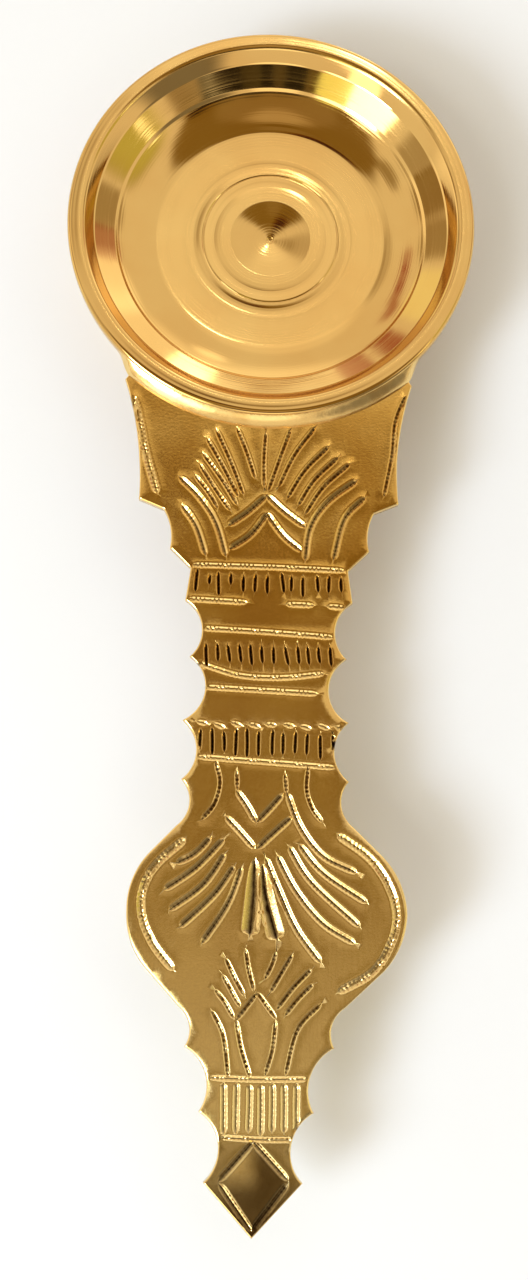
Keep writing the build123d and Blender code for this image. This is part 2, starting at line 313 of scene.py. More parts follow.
@dataclass(frozen=True)
class BrazeBrass:
    """Brazing brass of the seams: paler than the bowl, dressed smooth, with small pits."""

    name: str = "braze_metal"
    metal: Colour = (0.84, 0.60, 0.24)
    darker_metal: Colour = (0.70, 0.44, 0.145)
    smooth: float = 0.12
    dull: float = 0.26
    cloud_scale: float = 180.0
    dull_scale: float = 700.0
    pit_scale: float = 420.0
    relief: float = 0.25
    relief_depth: float = 0.2

    def make(self) -> bpy.types.Material:
        """Makes the finish.

        Returns:
            The material.
        """
        material, sheet = new_material(self.name)
        place = sheet.placed()
        cloud = sheet.noise(place, self.cloud_scale, 4.0)
        colour = sheet.blend(sheet.spread(cloud, 0.5, 0.78, 0, 1), self.metal, self.darker_metal)
        rough = sheet.spread(sheet.noise(place, self.dull_scale), 0.3, 0.7, self.smooth, self.dull)
        sheet.brass(colour, rough, sheet.noise(place, self.pit_scale), self.relief, self.relief_depth)
        return material


@dataclass(frozen=True)
class PaleFloor:
    """Plain pale table top."""

    name: str = "pale_floor"
    paint: Colour = (0.85, 0.90, 0.98)
    cloud_scale: float = 30.0
    shade: float = 0.99
    matt: float = 0.9
    sheen: float = 0.1

    def make(self) -> bpy.types.Material:
        """Makes the finish.

        Returns:
            The material.
        """
        material, sheet = new_material(self.name)
        tone = sheet.spread(sheet.noise(sheet.placed(), self.cloud_scale), 0.3, 0.7, 0.0, 1.0)
        colour = sheet.blend(tone, self.paint, tuple(part * self.shade for part in self.paint))
        shader = sheet.add("ShaderNodeBsdfPrincipled", {
            "Base Color": colour, "Roughness": self.matt, "Specular IOR Level": self.sheen})
        sheet.add("ShaderNodeOutputMaterial", {0: shader.outputs[0]})
        return material


def add_piece(name: str, bm: bmesh.types.BMesh, material: bpy.types.Material, sharp: float) -> bpy.types.Object:
    """Turns a finished bmesh into an object of the scene.

    Args:
        name: the piece's name.
        bm: its mesh, in the frame's metres, which is freed.
        material: its finish.
        sharp: the angle in degrees past which an edge stays sharp.

    Returns:
        The new object.
    """
    mesh = bpy.data.meshes.new(name)
    bm.to_mesh(mesh)
    bm.free()
    mesh.materials.append(material)
    mesh.shade_smooth()
    mesh.set_sharp_from_angle(angle=math.radians(sharp))
    piece = bpy.data.objects.new(name, mesh)
    bpy.context.scene.collection.objects.link(piece)
    return piece


def seat(piece: bpy.types.Object, node: str) -> None:
    """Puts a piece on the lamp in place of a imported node, and reports it.

    Args:
        piece: the finished piece.
        node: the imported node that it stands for.
    """
    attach(piece, "root")
    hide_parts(node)
    log.info("%s: %d faces, stands for %s", piece.name, len(piece.data.polygons), node)


@dataclass(frozen=True)
class Corner:
    """One corner of a turned profile: radius, height and how far its round reaches, in millimetres."""

    radius: float
    z: float
    round: float = 0.0


def turn(corners: list[Corner], datum: Datum, closed: bool, arc: float = FULL_TURN,
         steps: int = 240) -> bmesh.types.BMesh:
    """Spins a profile with rounded corners about the bowl's axis.

    Args:
        corners: the profile, in order.
        datum: gives the axis.
        closed: whether the last corner joins the first.
        arc: how far it turns, centred on the handle's side.
        steps: faces round the turn.

    Returns:
        The turned mesh.
    """
    bm = bmesh.new()
    axis = Vector((0, datum.bowl_y * MM, 0))
    start = -math.pi / 2 - arc / 2
    out = Vector((math.cos(start), math.sin(start), 0))
    knots = [bm.verts.new(axis + out * (corner.radius * MM) + Vector((0, 0, corner.z * MM))) for corner in corners]
    for pair in zip(knots, knots[1:] + knots[:1] if closed else knots[1:]):
        bm.edges.new(pair)
    for knot, corner in zip(knots, corners):
        if corner.round:
            bmesh.ops.bevel(bm, geom=[knot], offset=corner.round * MM, offset_type="OFFSET",
                            segments=ROUND_STEPS, profile=0.5, affect="VERTICES", material=-1)
    bmesh.ops.spin(bm, geom=bm.verts[:] + bm.edges[:], cent=axis, axis=(0, 0, 1), angle=arc, steps=steps,
                   use_merge=arc == FULL_TURN)
    bmesh.ops.remove_doubles(bm, verts=bm.verts, dist=MM * 1e-4)
    bmesh.ops.recalc_face_normals(bm, faces=bm.faces)
    return bm


@dataclass
class OilBowl:
    """The turned bowl: a lined rim with a bevelled shoulder, a straight wall, a cove and a dished floor."""

    wall_thickness: float = 2.2
    mouth_radius: float = 30.4
    floor_radius: float = 26.8
    floor_z: float = 9.0
    shoulder_radius: float = 32.3
    lip_radius: float = 30.6
    lip_drop: float = 2.3
    flat_radius: float = 15.0
    flat_slope: float = 0.035
    cove_radius: float = 19.7
    cove_edge: float = 26.7
    cove_slope: float = 0.56
    cove_power: float = 0.7
    cove_steps: int = 24
    crease: float = 0.4
    rim_lines: tuple[Triple, ...] = ((33.7, 0.5, 0.006),)
    floor_rings: tuple[Triple, ...] = ((13.6, 2.2, 0.07), (11.9, 0.34, 0.10), (10.2, 2.0, 0.05))
    dimple_radius: float = 7.0
    dimple_depth: float = 0.73
    dimple_steps: int = 10
    dimple_cone: float = 0.42
    line_edge: float = 0.2
    line_bottom: float = 0.28
    mark_radius: float = 0.7
    mark_depth: float = 0.4
    base_round: float = 0.6
    neck_round: float = 0.15
    under_round: float = 0.3
    rim_round: float = 0.75
    shoulder_round: float = 0.6
    lip_round: float = 0.25
    crease_round: float = 0.1
    dimple_round: float = 0.12

    def line(self, radius: float, z: float, width: float, depth: float) -> list[Corner]:
        """A shallow turned line, from its outer edge inwards."""
        outer, inner = (Corner(radius + width * share, z, width * self.line_edge) for share in (0.5, -0.5))
        return [outer, Corner(radius, z - depth, width * self.line_bottom), inner]

    def cove(self) -> list[Corner]:
        """The hollow curve from the wall's foot in to the floor, steepest at the wall.

        Returns:
            Its corners, from the wall inwards.
        """
        width = self.cove_edge - self.cove_radius
        base = self.floor_z + self.flat_slope * (self.cove_radius - self.flat_radius)
        corners = []
        for step in range(self.cove_steps + 1):
            share = 1 - step / self.cove_steps
            rise = self.flat_slope * share
            rise += (self.cove_slope - self.flat_slope) * share ** (1 + self.cove_power) / (1 + self.cove_power)
            corners.append(Corner(self.cove_radius + width * share, base + width * rise,
                                  0 if step else self.crease_round))
        return corners

    def profile(self, datum: Datum) -> list[Corner]:
        """The bowl's section from under its middle, round the rim, to the lathe's mark in its floor.

        Args:
            datum: gives the rim's size and the heights.

        Returns:
            Its corners.
        """
        slope = (self.mouth_radius - self.floor_radius) / (datum.rim_z - self.floor_z)
        outer = self.floor_radius + self.wall_thickness
        corners = [
            Corner(0, datum.base_z),
            Corner(outer + slope * (datum.base_z - self.floor_z), datum.base_z, self.base_round),
            Corner(outer + slope * (datum.plate_top - self.floor_z), datum.plate_top, self.neck_round),
            Corner(datum.rim_radius, datum.plate_top, self.under_round),
            Corner(datum.rim_radius, datum.rim_z, self.rim_round)]
        for radius, width, depth in self.rim_lines:
            corners += self.line(radius, datum.rim_z, width, depth)
        cove = self.cove()
        corners += [Corner(self.shoulder_radius, datum.rim_z, self.shoulder_round),
                    Corner(self.lip_radius, datum.rim_z - self.lip_drop, self.lip_round),
                    Corner(cove[0].radius + self.crease, cove[0].z + self.crease, self.crease_round),
                    *cove, Corner(self.flat_radius, self.floor_z)]
        for radius, width, depth in self.floor_rings:
            corners += self.line(radius, self.floor_z, width, depth)
        for step in range(self.dimple_steps + 1):
            share = 1 - step / self.dimple_steps * (1 - self.mark_radius / self.dimple_radius)
            dish = self.dimple_cone * share + (1 - self.dimple_cone) * share ** 2
            corners.append(Corner(self.dimple_radius * share, self.floor_z - self.dimple_depth * (1 - dish),
                                  self.dimple_round if step in (0, self.dimple_steps) else 0))
        return corners + [Corner(0, corners[-1].z - self.mark_depth)]

    def build(self, datum: Datum, finish: TurnedBrass) -> None:
        """Turns the bowl and puts it on the lamp."""
        bm = turn(self.profile(datum), datum, closed=False)
        seat(add_piece("oil_bowl", bm, finish.make(datum), sharp=40.0), "bowl")


@dataclass
class FootRing:
    """The ring that the bowl stands on: a flat sole, a hollow moulding and a straight neck."""

    sole_radius: float = 28.8
    neck_radius: float = 25.8
    bore_radius: float = 19.0
    sole: float = 1.2
    neck: float = 1.8
    sole_round: float = 0.3
    edge_round: float = 0.25
    cove_steps: int = 8

    def profile(self, datum: Datum) -> list[Corner]:
        """The ring's section, from the bore's lower edge outwards.

        Args:
            datum: gives the height of the bowl's base.

        Returns:
            Its corners.
        """
        corners = [Corner(self.bore_radius, 0, self.sole_round), Corner(self.sole_radius, 0, self.sole_round),
                   Corner(self.sole_radius, self.sole, self.edge_round)]
        width, height = self.sole_radius - self.neck_radius, datum.base_z - self.neck - self.sole
        for step in range(1, self.cove_steps):
            angle = math.pi / 2 * step / self.cove_steps
            corners.append(Corner(self.sole_radius - width * math.sin(angle),
                                  self.sole + height * (1 - math.cos(angle))))
        return corners + [Corner(self.neck_radius, datum.base_z - self.neck), Corner(self.neck_radius, datum.base_z),
                          Corner(self.bore_radius, datum.base_z)]

    def build(self, datum: Datum, finish: TurnedBrass) -> None:
        """Turns the ring and puts it on the lamp."""
        bm = turn(self.profile(datum), datum, closed=True)
        seat(add_piece("foot_ring_turned", bm, finish.make(datum), sharp=40.0), "foot_ring")


@dataclass
class RimBraze:
    """The dressed seam that carries the rim's top over in one round down to the plate.

    Past the ears it thins out along the rim's edge.
    """

    top_reach: float = 0.95
    leg: float = 1.7
    edge_round: float = 0.75
    fullness: float = 0.45
    full_angle: float = 39.5
    end_angle: float = 47.5
    overlap: float = 0.03
    sink: float = 0.02
    top_sink: float = 0.008
    thinnest: float = 0.02
    under_gap: float = 0.05
    face_steps: int = 12
    turn_steps: int = 150

    def home(self, radius: float, z: float, datum: Datum) -> Spot:
        """The nearest place just under the rim's own rounded edge.

        Args:
            radius: how far from the bowl's axis the place is.
            z: its height.
            datum: gives the rim's size and height.

        Returns:
            The radius and height of the place under the edge.
        """
        middle = Vector((datum.rim_radius - self.edge_round, datum.rim_z - self.sink - self.edge_round))
        size = self.edge_round - self.overlap
        if z < middle.y:
            return middle.x + size, z
        if radius < middle.x:
            return radius, middle.y + size
        away = (Vector((radius, z)) - middle).normalized() * size
        return middle.x + away.x, middle.y + away.y

    def profile(self, datum: Datum) -> list[Corner]:
        """The seam's section: over its full face to the plate, and back under it along the rim's edge.

        Args:
            datum: gives the rim's size and the plate's height.

        Returns:
            Its corners.
        """
        start = Vector((datum.rim_radius - self.top_reach, datum.rim_z - self.top_sink))
        end = Vector((datum.rim_radius + self.leg, datum.plate_top))
        face = []
        for step in range(self.face_steps + 1):
            share = step / self.face_steps
            angle = math.pi / 2 * share
            full = Vector((start.x + (end.x - start.x) * math.sin(angle), end.y + (start.y - end.y) * math.cos(angle)))
            face.append(start.lerp(end, share).lerp(full, self.fullness))
        under = [self.home(spot.x, spot.y, datum) for spot in reversed(face[1:-1])]
        return [Corner(*spot) for spot in face] + [Corner(self.home(*end, datum)[0], end.y)] + [
            Corner(*spot) for spot in under if spot[1] > end.y + self.under_gap]

    def build(self, datum: Datum, finish: BrazeBrass) -> None:
        """Spins the seam, thins its ends and puts it on the lamp.

        Args:
            datum: gives the bowl's axis and the heights.
            finish: the brazing brass.
        """
        bm = turn(self.profile(datum), datum, closed=True, arc=2 * math.radians(self.end_angle),
                  steps=self.turn_steps)
        bmesh.ops.holes_fill(bm, edges=[edge for edge in bm.edges if edge.is_boundary], sides=0)
        bmesh.ops.recalc_face_normals(bm, faces=bm.faces)
        axis = Vector((0, datum.bowl_y * MM))
        for vert in bm.verts:
            away = vert.co.xy - axis
            angle = abs(math.degrees(math.atan2(away.x, -away.y)))
            share = (self.end_angle - angle) / (self.end_angle - self.full_angle)
            share = min(1.0, max(self.thinnest, share))
            radius, z = away.length / MM, vert.co.z / MM
            home_radius, home_z = self.home(radius, z, datum)
            keep = share * share * (3 - 2 * share)
            vert.co.xy = axis + away.normalized() * (home_radius + (radius - home_radius) * keep) * MM
            vert.co.z = (home_z + (z - home_z) * keep) * MM
        seat(add_piece("rim_seam", bm, finish.make(), sharp=50.0), "rim_braze")


@dataclass(frozen=True)
class Tool:
    """The groove that one chasing tool leaves, in millimetres.

    Its bottom stays dark with tarnish, made darker as painted shade, its edges are fresh metal and the side that faces
    the lamp has a painted highlight.
    """

    width: float
    depth: float
    hollow: float
    chatter: float
    tarnish_and_shade: float
    lip: float
    fresh_and_sheen: float
    # Share of the cut's side towards the lamp that is painted lighter as a highlight.
    painted_highlight_share: float = 0.9
    lead: float = 1.3
    tail: float = 1.3


class Chisel(Enum):
    """The chasing tools that the ornament was cut with."""

    LINER = Tool(width=0.80, depth=0.24, hollow=0.6, chatter=0.65, tarnish_and_shade=0.90, lip=0.04, fresh_and_sheen=0.9)
    GRAVER = Tool(width=0.74, depth=0.36, hollow=0.3, chatter=0.35, tarnish_and_shade=1.2, lip=0.04, fresh_and_sheen=0.25)
    BORDER = Tool(width=1.20, depth=0.36, hollow=0.5, chatter=0.55, tarnish_and_shade=0.75, lip=0.05, fresh_and_sheen=0.8)
    GOUGE = Tool(width=0.98, depth=0.40, hollow=0.7, chatter=0.20, tarnish_and_shade=1.2, lip=0.04, fresh_and_sheen=0.30)
    PUNCH = Tool(width=0.62, depth=0.55, hollow=0.35, chatter=0.10, tarnish_and_shade=1.3, lip=0.03, fresh_and_sheen=0.0, painted_highlight_share=0.3,
                 lead=0.9, tail=0.9)
    FLUTER = Tool(width=0.95, depth=0.36, hollow=0.5, chatter=0.12, tarnish_and_shade=0.85, lip=0.03, fresh_and_sheen=0.4,
                  lead=0.7, tail=0.7)
    BELL = Tool(width=2.40, depth=0.66, hollow=0.8, chatter=0.0, tarnish_and_shade=1.1, lip=0.05, fresh_and_sheen=0.2, lead=9.0, tail=0.9)


@dataclass
class Stroke:
    """One chased stroke along a path on the plate: across and away from the bowl's axis.

    The side of the cut that faces the lamp is painted lighter, as a highlight, and keeps no tarnish.
    """

    # Direction towards the lamp across the plate; the side of a cut that faces it is painted as a highlight.
    LAMP_SIDE = np.array((0.55, -0.835))
    RAILS = (-1.85, -1.3, -0.97, -0.5, 0.0, 0.5, 0.97, 1.3, 1.85)
    REACH = 1.3
    TAP = 0.62
    THINNEST = 0.16
    LONGEST_LEAD, LONGEST_TAIL = 0.8, 0.45
    LIP_AT, LIP_SPREAD = 1.25, 0.3
    DARK_FROM, FRESH_AT, FRESH_TOP, FALL = 0.25, 0.65, 1.5, 2.4
    # How steep, how far in and how bright the painted highlight on the lamp's side of a cut is.
    SHINE_SIDE, SHINE_EDGE, SHINE = 3, 4, 0.9

    chisel: Chisel
    path: np.ndarray
    run: np.ndarray = field(init=False)
    phase: float = 0.0

    def __post_init__(self) -> None:
        """Measures the run along the path."""
        steps = np.hypot(*np.diff(self.path, axis=0).T)
        self.run = np.concatenate([[0.0], np.cumsum(steps)])

    def ease(self, run: np.ndarray) -> np.ndarray:
        """How much of the tool's full size the cut has along the path.

        Args:
            run: distances along the path.

        Returns:
            The share at each distance.
        """
        length, tool = self.run[-1], self.chisel.value
        lead, tail = min(tool.lead, length * self.LONGEST_LEAD), min(tool.tail, length * self.LONGEST_TAIL)
        share = np.clip(np.minimum(run / lead, (length - run) / tail), 0, 1)
        return self.THINNEST + (1 - self.THINNEST) * np.sqrt(share * (2 - share))

    def rails(self) -> list[np.ndarray]:
        """Lines beside the path that the plate's faces follow, from one lip to the other.

        Returns:
            The lines.
        """
        tangent = np.gradient(self.path, axis=0)
        tangent /= np.linalg.norm(tangent, axis=1, keepdims=True)
        side = np.stack([-tangent[:, 1], tangent[:, 0]], 1)
        half = (self.chisel.value.width / 2 * self.ease(self.run))[:, None]
        return [self.path + side * half * share for share in self.RAILS]

    def cut(self, spots: np.ndarray) -> tuple[np.ndarray, ...]:
        """What the stroke does to the plate at some spots.

        Args:
            spots: places on the plate, across and away from the bowl's axis.

        Returns:
            The depth cut, the lip raised, the tarnish with painted shade, and the fresh metal with the painted
            highlight at each spot.
        """
        tool = self.chisel.value
        start, step = self.path[:-1], np.diff(self.path, axis=0)
        length = np.einsum("ij,ij->i", step, step)
        share = np.clip(np.einsum("kij,ij->ki", spots[:, None] - start, step) / length, 0, 1)
        away = spots[:, None] - (start + share[:, :, None] * step)
        gap = np.linalg.norm(away, axis=2)
        near = gap.argmin(1)
        row = np.arange(len(spots))
        run = self.run[near] + share[row, near] * np.sqrt(length[near])
        ease = self.ease(run)
        half = tool.width / 2 * ease
        across = gap[row, near] / half
        inside = np.clip(1 - across, 0, 1)
        bowl_shape = np.sqrt(inside * (2 - inside))
        chatter = 1 + tool.chatter * np.sin(run * FULL_TURN / self.TAP + self.phase)
        depth = tool.depth * ease * chatter
        depth *= (1 - tool.hollow) * inside + tool.hollow * bowl_shape
        lip = tool.lip * ease * np.exp(-((across - self.LIP_AT) / self.LIP_SPREAD) ** 2)
        # Tarnish left in the hollow, made darker than patina alone as painted shade.
        tarnish_and_shade = tool.tarnish_and_shade * np.clip((inside - self.DARK_FROM) * self.FALL, 0, 1) * chatter / (1 + tool.chatter)
        fresh_and_sheen = tool.fresh_and_sheen * ease * np.clip(self.FRESH_TOP - np.abs(across - self.FRESH_AT) * self.FALL, 0, 1)
        # Painted highlight: the side of the cut towards the lamp loses its tarnish and turns bright.
        painted_highlight = tool.painted_highlight_share * np.clip(away[row, near] @ self.LAMP_SIDE / half * self.SHINE_SIDE, 0, 1)
        painted_highlight *= np.clip(inside * self.SHINE_EDGE, 0, 1)
        return depth, lip, tarnish_and_shade * (1 - painted_highlight), np.maximum(fresh_and_sheen, painted_highlight * self.SHINE)


class Ornament:
    """The chased ornament of the plate, as strokes from the bowl down to the tip."""

    FIELD_BORDER = (
        ((-22.9, 31.4), (-21.8, 35.4), (-20.4, 41.5), (-18.4, 48.4)),
        ((23.1, 30.4), (21.5, 34.8), (20.9, 41.0), (19.6, 48.2)))
    FIELD_FAN = (
        ((-8.8, 37.0), (-6.2, 42.6), (-3.9, 48.3)), ((-5.3, 36.7), (-3.5, 41.0), (-2.0, 45.6)),
        ((-10.3, 38.6), (-7.3, 43.6), (-4.9, 48.6)), ((-10.9, 41.2), (-7.6, 45.8), (-4.9, 50.1)),
        ((-11.5, 43.0), (-8.6, 47.4), (-6.1, 51.2)), ((-12.2, 44.9), (-10.0, 48.0), (-8.2, 50.7)),
        ((-0.4, 37.1), (-0.6, 41.8), (-0.6, 47.0)), ((3.9, 36.7), (2.0, 42.0), (0.2, 47.6)),
        ((7.9, 36.2), (4.4, 41.2), (1.9, 46.8)), ((10.3, 39.5), (6.2, 43.8), (3.3, 48.7)),
        ((11.8, 41.4), (7.8, 45.4), (5.0, 50.0)), ((13.8, 42.4), (9.4, 46.6), (6.2, 51.4)))
    FIELD_CHEVRONS = (
        ((-0.2, 48.2), (-3.2, 51.2), (-6.4, 53.7)), ((-0.2, 48.2), (3.0, 51.0), (6.4, 53.6)),
        ((0.0, 51.3), (-2.7, 55.0), (-6.2, 57.7)), ((0.0, 51.3), (2.8, 55.2), (6.0, 57.8)))
    FIELD_LEAVES = (
        ((-14.8, 45.4), (-11.4, 48.6), (-8.6, 53.0), (-6.6, 59.0)),
        ((-14.2, 50.3), (-11.7, 53.8), (-10.1, 58.9)),
        ((15.0, 45.3), (10.3, 49.2), (7.3, 53.6), (6.4, 59.4)),
        ((16.4, 48.2), (13.0, 52.2), (11.1, 59.2)))
    CALYX = (
        ((-7.7, 92.9), (-7.0, 96.3), (-7.8, 99.8), (-9.9, 102.5)),
        ((7.2, 93.6), (7.0, 97.2), (7.9, 100.2), (9.6, 102.6)),
        ((-4.3, 94.2), (-4.2, 97.4)), ((3.5, 94.8), (3.8, 97.9)))
    BULGE_CHEVRONS = (
        ((-4.3, 97.6), (-2.6, 100.2), (-1.0, 102.6)), ((3.4, 98.0), (1.2, 100.4), (-0.8, 102.6)),
        ((-6.0, 101.7), (-3.6, 104.2), (-1.1, 106.9)), ((4.7, 101.7), (1.8, 104.4), (-0.9, 106.9)))
    PETALS = (
        ((3.9, 97.9), (6.0, 103.2), (9.8, 107.8), (15.4, 110.4)), ((5.9, 106.0), (9.8, 110.6), (16.9, 115.2)),
        ((4.3, 106.5), (7.9, 112.0), (15.8, 119.0)), ((2.4, 107.9), (5.5, 113.5), (9.9, 118.4), (15.0, 121.6)),
        ((0.6, 108.3), (2.8, 113.5), (5.6, 119.4), (9.6, 124.6)),
        ((-8.2, 105.0), (-10.6, 107.6), (-13.8, 109.4)), ((-6.1, 105.4), (-10.6, 110.0), (-15.6, 113.6)),
        ((-5.8, 107.6), (-9.4, 112.8), (-14.6, 116.8)), ((-4.3, 109.5), (-7.6, 114.4), (-12.9, 119.4)),
        ((-3.2, 109.8), (-5.4, 115.8), (-9.4, 121.9)))
    PISTIL = (((-1.1, 108.6), (-1.2, 114.4), (-1.7, 120.4)), ((0.1, 109.4), (1.0, 115.0), (2.6, 121.2)))
    BULGE_BORDER = (
        ((-12.3, 105.4), (-17.1, 109.7), (-19.0, 113.8), (-18.9, 117.8), (-17.1, 122.1), (-13.6, 126.0)),
        ((12.0, 104.4), (17.2, 108.0), (20.4, 112.3), (21.6, 117.0), (20.8, 121.4), (17.8, 126.0), (12.2, 129.2)))
    BUD = (
        ((-0.5, 129.4), (-3.7, 133.6)), ((-3.7, 133.6), (-2.9, 138.0), (-1.4, 142.2)),
        ((-0.5, 129.4), (2.6, 133.5)), ((2.6, 133.5), (2.0, 138.0), (1.0, 141.9)))
    BUD_FAN = (
        ((-2.5, 122.7), (-1.9, 126.0), (-1.0, 129.1)), ((-5.6, 124.1), (-4.0, 127.2), (-2.4, 130.1)),
        ((-6.2, 126.7), (-4.6, 129.2), (-3.1, 131.6)), ((-7.2, 128.9), (-5.5, 131.2), (-4.0, 133.4)),
        ((2.4, 122.9), (1.7, 125.2), (0.7, 127.4)), ((5.1, 123.4), (3.4, 126.3), (1.6, 129.4)),
        ((8.2, 125.6), (5.2, 128.6), (2.6, 132.0)), ((8.4, 128.0), (6.0, 130.4), (4.0, 132.9)))
    BUD_LEAVES = (((-7.7, 132.2), (-5.6, 136.0), (-4.7, 142.2)), ((9.7, 130.9), (6.0, 135.0), (4.2, 141.9)))
    DIAMOND = (
        ((-0.8, 152.0), (-6.0, 157.8)), ((-0.6, 152.0), (4.8, 157.6)),
        ((-6.0, 158.2), (-0.8, 165.0)), ((4.8, 158.0), (-0.6, 165.0)))
    FIELD_RULE = ((-12.4, 60.5), (0.0, 60.7), (13.0, 60.9))
    STEM_RULES = (
        ((-12.9, 66.2), (-3.0, 66.5)), ((3.2, 66.7), (8.0, 66.9)), ((10.0, 67.0), (13.2, 67.2)),
        ((-10.4, 71.0), (0.0, 71.6), (11.3, 72.2)), ((-10.9, 76.8), (-4.2, 78.8), (2.8, 79.1), (9.9, 78.3)),
        ((-9.7, 80.8), (0.0, 81.2), (8.9, 81.6)), ((-10.6, 92.3), (0.0, 92.9), (11.6, 93.7)))
    TIP_RULES = (((-7.6, 142.4), (0.0, 142.6), (7.7, 142.6)), ((-5.9, 151.2), (0.0, 151.5), (5.6, 151.5)))
    BEZIER_STEPS = 24
    SLIP, ROW_SLIP = 0.06, 0.03

    def __init__(self, step: float = 0.34, seed: int = 7) -> None:
        """Starts with no strokes.

        Args:
            step: spacing of the points along a stroke.
            seed: seed of the hand's unevenness.
        """
        self.step = step
        self.hand = random.Random(seed)
        self.strokes: list[Stroke] = []

    def smooth_path(self, knots: tuple[Spot, ...]) -> np.ndarray:
        """A smooth line through some knots, evenly stepped.

        Args:
            knots: places on the plate.

        Returns:
            The points of the line.
        """
        path = [Vector(knot) for knot in knots]
        path = [path[0] * 2 - path[1], *path, path[-1] * 2 - path[-2]]
        line = []
        for before, here, there, after in zip(path, path[1:], path[2:], path[3:]):
            handles = here + (there - before) / 6, there - (after - here) / 6
            line += geometry.interpolate_bezier(here, *handles, there, self.BEZIER_STEPS)
        spots = np.array([tuple(spot) for spot in line])
        spots = spots[np.concatenate([[True], np.hypot(*np.diff(spots, axis=0).T) > 1e-6])]
        run = np.concatenate([[0.0], np.cumsum(np.hypot(*np.diff(spots, axis=0).T))])
        count = max(4, round(run[-1] / self.step))
        even = np.linspace(0, run[-1], count + 1)
        return np.stack([np.interp(even, run, spots[:, axis]) for axis in (0, 1)], 1)

    def chase(self, chisel: Chisel, knots: tuple[Spot, ...], slip: float = SLIP) -> None:
        """Adds one stroke, with the slip of a hand in it."""
        shaken = tuple((x + self.hand.gauss(0, slip), s + self.hand.gauss(0, slip)) for x, s in knots)
        self.strokes.append(Stroke(chisel, self.smooth_path(shaken), phase=self.hand.uniform(0, FULL_TURN)))

    def row(self, chisel: Chisel, count: int, left: float, right: float, top: float, bottom: float, lean: float = 0.0,
            sag: float = 0.0, uneven: float = 0.3) -> None:
        """Adds a row of short strokes side by side.

        Args:
            chisel: the tool.
            count: how many strokes.
            left: place of the first one.
            right: place of the last one.
            top: where they start.
            bottom: where they end.
            lean: how far their lower ends lie to the right.
            sag: how much lower the row's right end lies.
            uneven: how much their ends differ.
        """
        for index in range(count):
            share = index / (count - 1)
            x = left + (right - left) * share + self.hand.gauss(0, uneven * 0.35)
            drop = sag * share
            first, last = top + drop + self.hand.gauss(0, uneven * 0.5), bottom + drop + self.hand.gauss(0, uneven)
            slant = lean + self.hand.gauss(0, uneven * 0.4)
            self.chase(chisel, ((x, first), (x + slant / 2, (first + last) / 2), (x + slant, last)), self.ROW_SLIP)

    def all(self) -> list[Stroke]:
        """Chases the whole plate.

        Returns:
            Its strokes.
        """
        groups = (
            (Chisel.BORDER, self.FIELD_BORDER[:1] + self.BULGE_BORDER), (Chisel.BELL, self.PISTIL),
            (Chisel.GRAVER, self.FIELD_BORDER[1:] + self.FIELD_FAN + self.CALYX + self.BUD_FAN + self.BUD_LEAVES),
            (Chisel.GOUGE, self.FIELD_CHEVRONS + self.FIELD_LEAVES + self.BULGE_CHEVRONS + self.PETALS + self.DIAMOND),
            (Chisel.GRAVER, self.BUD))
        for chisel, group in groups:
            for knots in group:
                self.chase(chisel, knots)
        self.chase(Chisel.LINER, self.FIELD_RULE)
        self.row(Chisel.PUNCH, 13, -11.6, 12.2, 61.6, 64.6, sag=0.3, uneven=0.6)
        for knots in self.STEM_RULES:
            self.chase(Chisel.LINER, knots)
        self.row(Chisel.PUNCH, 12, -9.9, 10.6, 73.6, 76.8, lean=0.35, sag=0.2)
        self.row(Chisel.LINER, 9, -11.0, 11.4, 86.6, 87.0, lean=2.0, sag=0.3, uneven=0.2)
        self.row(Chisel.PUNCH, 12, -10.3, 11.0, 87.4, 91.5, sag=0.7, uneven=0.4)
        for knots in self.TIP_RULES:
            self.chase(Chisel.LINER, knots)
        self.row(Chisel.FLUTER, 7, -5.3, 5.9, 143.2, 150.7, uneven=0.2)
        return self.strokes


